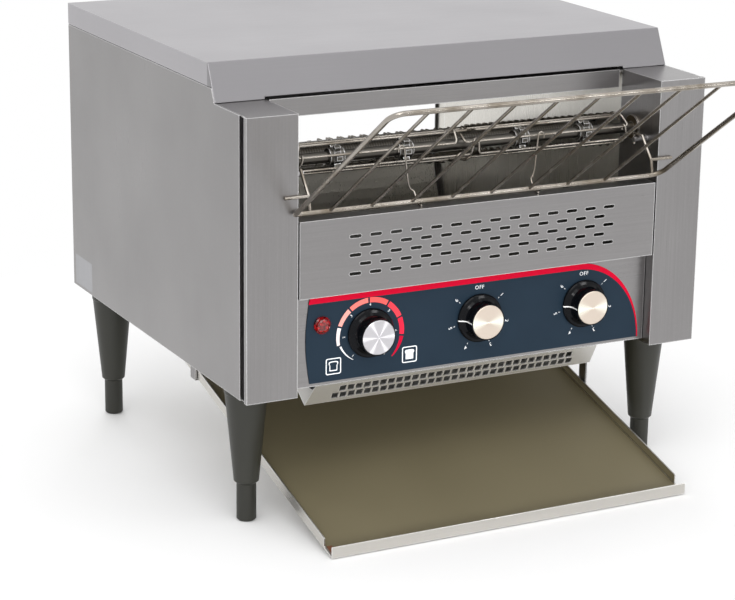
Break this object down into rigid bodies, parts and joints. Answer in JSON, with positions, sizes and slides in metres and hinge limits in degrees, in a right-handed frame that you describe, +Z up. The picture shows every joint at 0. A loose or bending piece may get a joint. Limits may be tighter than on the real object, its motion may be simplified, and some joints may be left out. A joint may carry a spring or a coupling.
{
  "type": "conveyor toaster",
  "caption": "Free-standing conveyor toaster in brushed steel: wire feed rack, wire belt between heaters, slotted guard, dial panel, sloping output tray, tapered adjustable legs.",
  "frame": {"origin": "centre of the bounding box on the table, under the middle of the body and rack", "axes": "+X to the right seen from the front, +Y to the back, +Z up"},
  "size_m": [0.468, 0.6288, 0.4185],
  "materials": {
    "panel_steel": "satin brushed",
    "inner_steel": "satin",
    "dark_steel": "heat darkened",
    "wire": "bright drawn wire",
    "tray_face": "satin",
    "overlay": "printed overlay",
    "black_plastic": "glossy moulded",
    "leg_plastic": "satin moulded",
    "cap_metal": "spun",
    "lamp_red": "clear moulded",
    "quartz": "frosted",
    "ceramic": "matt",
    "brass": "turned",
    "motor_metal": "cast",
    "pale_plastic": "moulded"
  },
  "bodies": {
    "root": {"base_pan": "panel_steel", "side_panel_left": "panel_steel", "side_panel_right": "panel_steel", "front_post_left": "panel_steel", "front_post_right": "panel_steel", "top_cover": "panel_steel", "top_baffle": "panel_steel", "front_guard": "panel_steel", "control_panel": "panel_steel", "intake_grille": "panel_steel", "rear_panel": "panel_steel", "rear_top_rail": "panel_steel", "toast_slide": "panel_steel", "tray_hangers": "panel_steel", "motor_bracket": "panel_steel", "tunnel_wall_left": "inner_steel", "tunnel_wall_right": "inner_steel", "top_reflector": "inner_steel", "bottom_reflector": "inner_steel", "bay_partition": "inner_steel", "belt_rails": "dark_steel", "drive_chain": "dark_steel", "conveyor_belt": "wire", "fascia": "overlay", "fan_frame": "black_plastic", "cable_gland": "black_plastic", "leg_front_left": "leg_plastic", "leg_front_right": "leg_plastic", "leg_rear_left": "leg_plastic", "leg_rear_right": "leg_plastic", "lamp_lens": "lamp_red", "top_heaters": "quartz", "bottom_heaters": "quartz", "heater_holders": "ceramic", "shaft_bushes": "brass", "gearmotor": "motor_metal", "top_switch": "pale_plastic", "bottom_switch": "pale_plastic", "lamp_body": "pale_plastic", "terminal_block": "pale_plastic", "speed_regulator": "pale_plastic"},
    "drive_axle": {"drive_shaft": "dark_steel", "drive_belt_sprockets": "dark_steel", "drive_sprocket": "dark_steel"},
    "idler_axle": {"idler_shaft": "dark_steel", "idler_belt_sprockets": "dark_steel"},
    "motor_output": {"motor_sprocket": "dark_steel"},
    "fan_wheel": {"fan_rotor": "black_plastic"},
    "speed_dial": {"speed_knob": "black_plastic", "speed_knob_cap": "cap_metal"},
    "top_dial": {"top_knob": "black_plastic", "top_knob_cap": "cap_metal"},
    "bottom_dial": {"bottom_knob": "black_plastic", "bottom_knob_cap": "cap_metal"},
    "tray": {"output_tray": "tray_face"},
    "rack": {"feed_rack": "wire"},
    "foot_fl": {"foot_front_left": "leg_plastic"},
    "foot_fr": {"foot_front_right": "leg_plastic"},
    "foot_rl": {"foot_rear_left": "leg_plastic"},
    "foot_rr": {"foot_rear_right": "leg_plastic"}
  },
  "joints": [
    {"name": "drive_shaft_spin", "type": "hinge", "parent": "root", "child": "drive_axle", "pos_m": [0, 0.20132, 0.26143], "axis": [1, 0, 0], "continuous": true},
    {"name": "idler_shaft_spin", "type": "hinge", "parent": "root", "child": "idler_axle", "pos_m": [0, -0.08762, 0.3308], "axis": [1, 0, 0], "continuous": true},
    {"name": "motor_shaft_spin", "type": "hinge", "parent": "root", "child": "motor_output", "pos_m": [0, 0.03338, 0.169], "axis": [1, 0, 0], "continuous": true},
    {"name": "fan_spin", "type": "hinge", "parent": "root", "child": "fan_wheel", "pos_m": [-0.128, 0.01837, 0.14], "axis": [0, 0, 1], "continuous": true},
    {"name": "speed_knob_turn", "type": "hinge", "parent": "root", "child": "speed_dial", "pos_m": [-0.10825, -0.13162, 0.1745], "axis": [0, 1, 0], "range_deg": [-290, 0]},
    {"name": "top_knob_turn", "type": "hinge", "parent": "root", "child": "top_dial", "pos_m": [0.00375, -0.13162, 0.1745], "axis": [0, 1, 0], "range_deg": [-257, 52]},
    {"name": "bottom_knob_turn", "type": "hinge", "parent": "root", "child": "bottom_dial", "pos_m": [0.11575, -0.13162, 0.1745], "axis": [0, 1, 0], "range_deg": [-257, 52]},
    {"name": "tray_slide", "type": "slide", "parent": "root", "child": "tray", "axis": [0, -1, 0], "range_m": [0, 0.1]},
    {"name": "rack_lift", "type": "slide", "parent": "root", "child": "rack", "axis": [0, 0, 1], "range_m": [0, 0.03]},
    {"name": "foot_fl_extend", "type": "slide", "parent": "root", "child": "foot_fl", "axis": [0, 0, -1], "range_m": [0, 0.015]},
    {"name": "foot_fr_extend", "type": "slide", "parent": "root", "child": "foot_fr", "axis": [0, 0, -1], "range_m": [0, 0.015]},
    {"name": "foot_rl_extend", "type": "slide", "parent": "root", "child": "foot_rl", "axis": [0, 0, -1], "range_m": [0, 0.015]},
    {"name": "foot_rr_extend", "type": "slide", "parent": "root", "child": "foot_rr", "axis": [0, 0, -1], "range_m": [0, 0.015]}
  ],
  "couplings": [
    {"joint": "idler_shaft_spin", "follows": "drive_shaft_spin", "ratio": 1},
    {"joint": "motor_shaft_spin", "follows": "drive_shaft_spin", "ratio": 2}
  ]
}
